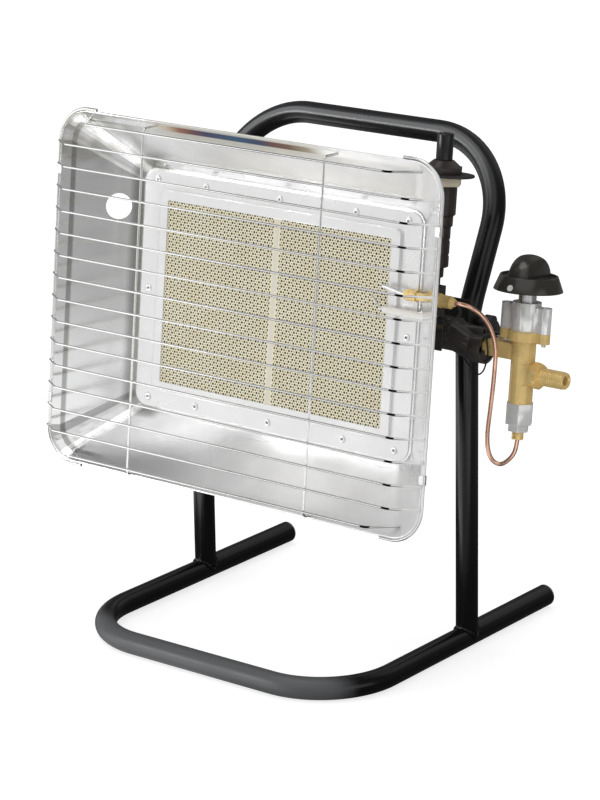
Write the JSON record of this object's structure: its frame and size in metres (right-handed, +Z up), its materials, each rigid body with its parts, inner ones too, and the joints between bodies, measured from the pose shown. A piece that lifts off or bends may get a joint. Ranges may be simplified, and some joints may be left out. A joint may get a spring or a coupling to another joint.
{
  "type": "portable propane heater",
  "caption": "Tilting radiant gas heater head with ceramic plaques, dished reflector and wire guard, on a bent tube stand that forms feet and carrying handle.",
  "frame": {"origin": "on the floor plane, midway between the two uprights, under the tilt pivot", "axes": "+X towards the gas valve and its inlet, along the tilt axis; -Y is the side the heater faces; +Y towards the back and the handle; +Z up"},
  "size_m": [0.5369, 0.3569, 0.5257],
  "materials": {
    "frame_paint": "gloss near-black powder coat",
    "cap_metal": "yellow-passivated, satin",
    "zinc": "bright zinc plate",
    "knob_black": "matt black",
    "dish": "polished sheet with heat tint along the top",
    "wire_chrome": "bright",
    "burner_sheet": "bright aluminised sheet",
    "ceramic": "matt cream, perforated",
    "gasket": "matt fibre board",
    "housing_sheet": "satin aluminised sheet",
    "duct_enamel": "semi-gloss brown-black enamel",
    "brass": "cast and turned",
    "copper": "drawn copper tube, satin",
    "steel": "satin",
    "bracket_black": "semi-gloss black",
    "porcelain": "white, glazed",
    "lead_black": "matt black sleeve",
    "dark_plastic": "dark brown-grey",
    "cream_plastic": "cream",
    "knob_gloss": "dark grey-black gloss",
    "white_print": "white",
    "button_black": "black"
  },
  "bodies": {
    "frame": {"base_frame": "frame_paint", "handle_frame": "frame_paint", "end_caps": "cap_metal", "pivot_bolts": "zinc", "friction_washers": "zinc", "clamp_washers": "zinc", "bolt_caps": "knob_black"},
    "head": {"head_bracket": "bracket_black", "bracket_screws": "zinc", "reflector": "dish", "grille_cross_wires": "wire_chrome", "grille_upright_wires": "wire_chrome", "grille_side_wires": "wire_chrome", "grille_clips": "zinc", "burner_plate": "burner_sheet", "burner_rivets": "burner_sheet", "ceramic_plaque_left": "ceramic", "ceramic_plaque_right": "ceramic", "plaque_gasket": "gasket", "burner_housing": "housing_sheet", "mixing_tube_upper": "duct_enamel", "mixing_tube_lower": "duct_enamel", "injector_bridge": "duct_enamel", "gas_injector": "brass", "valve_body": "brass", "inlet_nipple": "brass", "valve_bonnet": "wire_chrome", "bonnet_screws": "zinc", "magnet_nut": "wire_chrome", "magnet_unit": "brass", "thermocouple_gland": "brass", "thermocouple_lead": "copper", "sensor_bracket": "bracket_black", "thermocouple_sleeve": "brass", "thermocouple_nuts": "brass", "thermocouple_probe": "steel", "spark_electrode": "steel", "spark_insulator": "porcelain", "ignition_lead": "lead_black", "earth_wire": "lead_black", "earth_tag": "zinc", "igniter_bracket": "bracket_black", "igniter_barrel": "dark_plastic", "igniter_collar": "dark_plastic", "igniter_nut": "cream_plastic"},
    "clamp_left": {"clamp_knob_left": "knob_black"},
    "clamp_right": {"clamp_knob_right": "knob_black"},
    "knob_push": {"valve_plunger": "brass"},
    "knob_turn": {"valve_stem": "zinc", "gas_knob": "knob_gloss", "knob_marker": "white_print"},
    "igniter_push": {"igniter_button": "button_black"}
  },
  "joints": [
    {"name": "head_tilt", "type": "hinge", "parent": "frame", "child": "head", "pos_m": [0, 0, 0.323], "axis": [-1, 0, 0], "range_deg": [-15, 20]},
    {"name": "clamp_left_turn", "type": "hinge", "parent": "frame", "child": "clamp_left", "pos_m": [-0.1885, 0, 0.323], "axis": [-1, 0, 0], "range_deg": [-360, 0]},
    {"name": "clamp_right_turn", "type": "hinge", "parent": "frame", "child": "clamp_right", "pos_m": [0.1885, 0, 0.323], "axis": [1, 0, 0], "range_deg": [0, 360]},
    {"name": "gas_knob_push", "type": "slide", "parent": "head", "child": "knob_push", "axis": [0, -0.1184, -0.993], "range_m": [0, 0.005], "stiffness_N_per_m": 1500, "springref_m": -0.004},
    {"name": "gas_knob_turn", "type": "hinge", "parent": "knob_push", "child": "knob_turn", "pos_m": [0.256, -0.03023, 0.38199], "axis": [0, 0.1184, 0.993], "range_deg": [0, 210]},
    {"name": "igniter_press", "type": "slide", "parent": "head", "child": "igniter_push", "axis": [0, -0.1184, -0.993], "range_m": [0, 0.006], "stiffness_N_per_m": 2500, "springref_m": -0.002}
  ]
}
